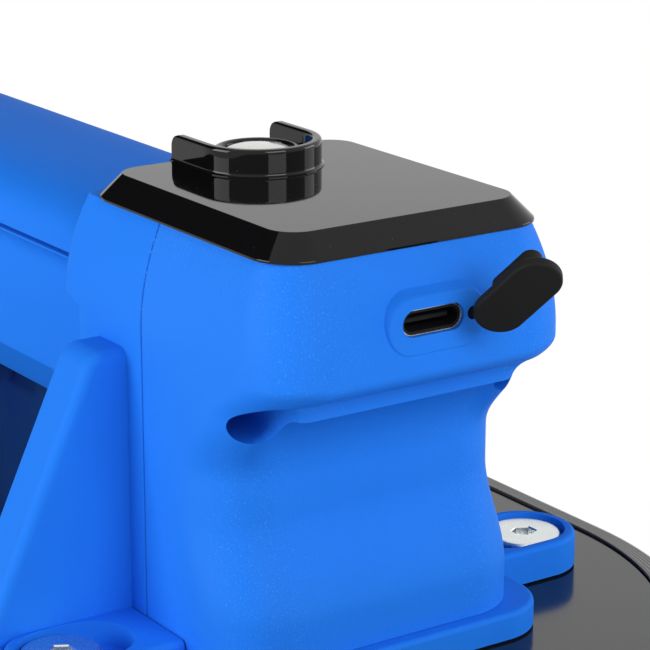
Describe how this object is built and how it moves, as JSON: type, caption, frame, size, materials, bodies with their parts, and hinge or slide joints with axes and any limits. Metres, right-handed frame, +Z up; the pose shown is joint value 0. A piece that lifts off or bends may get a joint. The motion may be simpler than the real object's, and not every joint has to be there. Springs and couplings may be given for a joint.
{
  "type": "battery vacuum suction lifter",
  "caption": "Hand-held vacuum suction lifter with a bridge handle, display head, guarded button, charging port with plug, inner pump and an obround rubber base.",
  "frame": {"origin": "under the middle of the obround base, on the surface that the seal rests on", "axes": "+X along the handle towards the display and charging port, +Z up from the base"},
  "size_m": [0.228, 0.114, 0.0818],
  "materials": {
    "blue_housing": "fine texture",
    "gloss_black": "polished",
    "soft_black": "matte",
    "black_rubber": "satin",
    "seal_foam": "open foam",
    "base_plastic": "satin",
    "bright_steel": "bright",
    "button_silver": "satin",
    "inner_black": "plain",
    "board_green": "solder mask",
    "cell_wrap": "shrink wrap",
    "brass": "turned"
  },
  "bodies": {
    "lifter": {"body_frame": "blue_housing", "front_cover": "blue_housing", "rear_cover": "blue_housing", "handle_cover": "blue_housing", "display_panel": "gloss_black", "button_guard": "gloss_black", "plug_strap": "soft_black", "usb_shell": "bright_steel", "usb_tongue": "inner_black", "usb_seat": "inner_black", "control_board": "board_green", "display_module": "inner_black", "key_switch": "inner_black", "battery_cell": "cell_wrap", "battery_cradle": "inner_black", "pump_valve_head": "inner_black", "pump_diaphragm": "black_rubber", "crank_case": "inner_black", "pump_motor": "bright_steel", "inlet_nipple": "brass", "inlet_filter": "seal_foam", "vent_coil": "inner_black", "vent_spring": "bright_steel", "pressure_sensor": "inner_black", "base_plate": "base_plastic", "rubber_skirt": "black_rubber", "foam_seal": "seal_foam", "cover_screw_front_left": "bright_steel", "lug_screw_front_left": "bright_steel", "cover_screw_front_right": "bright_steel", "lug_screw_front_right": "bright_steel", "cover_screw_rear_left": "bright_steel", "lug_screw_rear_left": "bright_steel", "cover_screw_rear_right": "bright_steel", "lug_screw_rear_right": "bright_steel"},
    "button": {"power_button": "gloss_black", "button_face": "button_silver"},
    "plug": {"port_plug": "soft_black"},
    "rotor": {"motor_shaft": "bright_steel", "pump_crank": "brass"},
    "vent": {"vent_plunger": "bright_steel", "vent_seal": "black_rubber"}
  },
  "joints": [
    {"name": "button_press", "type": "slide", "parent": "lifter", "child": "button", "axis": [0, 0, -1], "range_m": [0, 0.0006], "stiffness_N_per_m": 1500},
    {"name": "plug_swing", "type": "hinge", "parent": "lifter", "child": "plug", "pos_m": [0.0948, 0.0056, 0.0669], "axis": [0.8935, -0.4381, -0.0991], "range_deg": [0, 121], "stiffness_Nm_per_rad": 0.002},
    {"name": "motor_spin", "type": "hinge", "parent": "lifter", "child": "rotor", "pos_m": [-0.0812, 0, 0.0454], "axis": [0, 0, 1], "continuous": true},
    {"name": "vent_lift", "type": "slide", "parent": "lifter", "child": "vent", "axis": [0, 0, 1], "range_m": [0, 0.0015], "stiffness_N_per_m": 400, "deforming": ["vent_spring"]}
  ]
}
